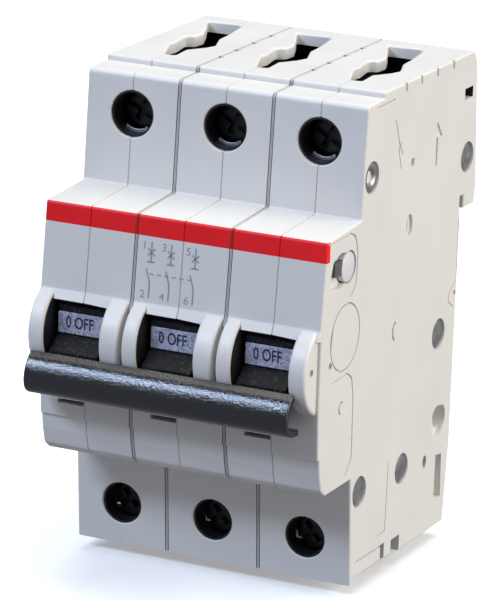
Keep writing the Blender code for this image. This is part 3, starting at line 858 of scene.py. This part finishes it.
def build_housing():
    for pole, x in CENTRES.items():
        for side, word in ((-1, "left"), (1, "right")):
            shell = half_shell(pole, side)
            piece(
                f"{word}_shell_{pole}_skin", shell, SHELL_LOOKS, "housing",
                [f"{word}_shell_{pole}"], x, housing_rim, 0.22,
            )
        for end in ("upper", "lower"):
            # Painted shade: a near-black sleeve inside each screwdriver bore.
            bore_shade = bore_shade_sleeve(SCREW_Z[end], HOLE_R[end], BORE_FRONT[end])
            piece(f"{end}_bore_{pole}", bore_shade, [PAINTED_SHADE], "housing", x=x)
        glint = bore_glint(SCREW_Z["upper"], HOLE_R["upper"])
        piece(f"upper_cage_edge_{pole}", glint, [STEEL], "housing", x=x)
    piece("side_symbol", side_symbol_mesh(), [PRINT], "housing")
    piece("front_symbol", symbol_mesh(), [PRINT], "housing")


def build_fasteners():
    for name, centre in RIVETS.items():
        shape = rivet if name == "rivet_upper_front" else domed_rivet
        made = shape(centre)
        piece(f"{name}_turned", made, [RIVET], "housing", [name])
    for pole, x in CENTRES.items():
        for end, turn in (("upper", 0.5), ("lower", -0.7)):
            screw = terminal_screw(SCREW_Z[end], turn)
            piece(
                f"{end}_screw_{pole}_turned", screw, [SHADED_SCREW], f"{end}_screw_body_{pole}",
                [f"{end}_screw_{pole}"], x,
            )


def on_matrix():
    """Turns flat artwork about the pivot, to the part of the drum that shows in the on position."""
    pivot = Vector((0, *PIVOT)) * MM
    turn = Matrix.Rotation(ON_TURN, 4, "X")
    return Matrix.Translation(pivot) @ turn @ Matrix.Translation(-pivot)


def build_handles():
    for pole, x in CENTRES.items():
        flat = soft_prism("on_plate", soft_box(PLATE_X, (-1.4, 1.4), 0.2), -59.3, -58.9, 0.08, "y")
        flat.transform(on_matrix())
        piece(f"on_plate_{pole}", flat, [PLATE], "handle", x=x)
        words = text_mesh("I ON", 2.3, 0.03, 0.035)
        words.transform(Matrix.Rotation(math.radians(90), 4, "X"))
        words.transform(Matrix.Translation(Vector((-0.4, -59.315, 0)) * MM))
        words.transform(on_matrix())
        piece(f"on_mark_{pole}", words, [INK], "handle", x=x)
        grip = toggle()
        piece(f"toggle_{pole}_grip", grip, [HANDLE], "handle", [f"toggle_{pole}"], x)
        plate = soft_prism("plate", soft_box(PLATE_X, (-0.3, 3.35), 0.2), -57.78, -57.4, 0.08, "y")
        piece(f"state_plate_{pole}", plate, [PLATE], "handle", x=x)
        words = text_mesh("0 OFF", 2.75, 0.03, 0.035)
        words.transform(Matrix.Diagonal((0.75, 1.05, 1, 1)))
        words.transform(Matrix.Rotation(math.radians(90), 4, "X"))
        words.transform(Matrix.Translation(Vector((-0.75, -57.795, 1.62)) * MM))
        piece(f"state_mark_{pole}", words, [INK], "handle", x=x)
    piece("tie_bar_grip", tie_bar(), [TIE_BAR], "handle", ["handle_tie_bar"])


def build_trip():
    piece("trip_shaft_turned", trip_shaft(), [SHAFT], "trip", ["trip_shaft"])
    for side, word in ((-1, "left"), (1, "right")):
        low, high = sorted((25.1 * side, 25.9 * side))
        arm = soft_prism("arm", trip_arm_outline(), low, high, 0.08)
        piece(f"trip_arm_{word}", arm, [ARM], "trip")


def dress_cad_nodes():
    """Materials and small edge radii for the CAD nodes that stay visible."""
    looks = {
        "upper_clamp": STEEL, "lower_clamp": STEEL, "upper_bar": COPPER, "bimetal": STRIP,
        "coil": WINDING, "plunger": STEEL, "fixed_contact": COPPER, "moving_contact": COPPER,
        "drive_link": STEEL, "trip_lever": SHAFT, "arc_chute": FIBRE, "rail_clip": CLIP,
    }
    for name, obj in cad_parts.items():
        look = looks.get(name.rsplit("_", 1)[0])
        if look is None:
            continue
        obj.data.materials.clear()
        obj.data.materials.append(look)
        bevel = obj.modifiers.new("edges", "BEVEL")
        bevel.limit_method = "ANGLE"
        bevel.angle_limit = math.radians(40)
        bevel.width = 0.12 * MM
        bevel.segments = 2


# ---------------------------------------------------------------- stage, light and camera


def build_stage():
    low = Vector(cad_box[0])
    bm = bmesh.new()
    bmesh.ops.create_grid(bm, x_segments=1, y_segments=1, size=4.0)
    mesh = bpy.data.meshes.new("floor")
    bm.to_mesh(mesh)
    bm.free()
    floor = bpy.data.objects.new("floor", mesh)
    floor.location = (0, 0, low.z - 0.0001)
    paper = surface("floor_paper", (0.95, 0.95, 0.95), 0.9, mottle=0.004, bump=0.0)
    glow = paper.node_tree.nodes["Principled BSDF"].inputs
    glow["Emission Color"].default_value = (1.0, 0.99, 0.97, 1)
    glow["Emission Strength"].default_value = 0.18
    mesh.materials.append(paper)
    bpy.context.scene.collection.objects.link(floor)
    floor.visible_diffuse = False
    floor.visible_glossy = False
    world = bpy.data.worlds.new("studio")
    world.use_nodes = True
    sky = world.node_tree.nodes["Background"].inputs
    sky["Color"].default_value = (0.83, 0.87, 1.0, 1)
    sky["Strength"].default_value = 0.33
    bpy.context.scene.world = world


def area_light(name, place, target, size, power, colour):
    data = bpy.data.lights.new(name, "AREA")
    data.shape = "RECTANGLE"
    data.size, data.size_y = size
    data.energy = power
    data.color = colour
    obj = bpy.data.objects.new(name, data)
    obj.location = place
    obj.rotation_mode = "QUATERNION"
    obj.rotation_quaternion = (Vector(target) - Vector(place)).to_track_quat("-Z", "Y")
    bpy.context.scene.collection.objects.link(obj)


def build_light():
    area_light("key_right", (1.5, 0.15, 0.6), (0, 0, 0), (1.0, 1.2), 24.5, (1.0, 0.965, 0.90))
    area_light("overhead", (0.05, 0.25, 1.6), (0, 0, 0), (1.6, 1.2), 19.0, (1.0, 0.99, 0.90))
    area_light("bar_strip", (-0.62, -1.0, 0.95), (0, 0, 0), (0.9, 0.20), 15.0, (0.60, 0.74, 1.0))


def build_camera():
    data = bpy.data.cameras.new("camera")
    data.sensor_width = 36.0
    data.lens = 259.69
    data.clip_start, data.clip_end = 0.05, 20.0
    camera = bpy.data.objects.new("camera", data)
    right = Vector((0.90061, 0.43329, 0.03420))
    up = Vector((-0.14767, 0.23102, 0.96168))
    back = right.cross(up)
    turn = Matrix((right, up, back)).transposed().to_4x4()
    camera.matrix_world = Matrix.Translation((0.30434, -0.67879, 0.20457)) @ turn
    bpy.context.scene.collection.objects.link(camera)
    bpy.context.scene.camera = camera


build_housing()
build_fasteners()
build_handles()
build_trip()
dress_cad_nodes()
build_stage()
build_light()
build_camera()
bpy.context.scene.view_settings.view_transform = "Standard"
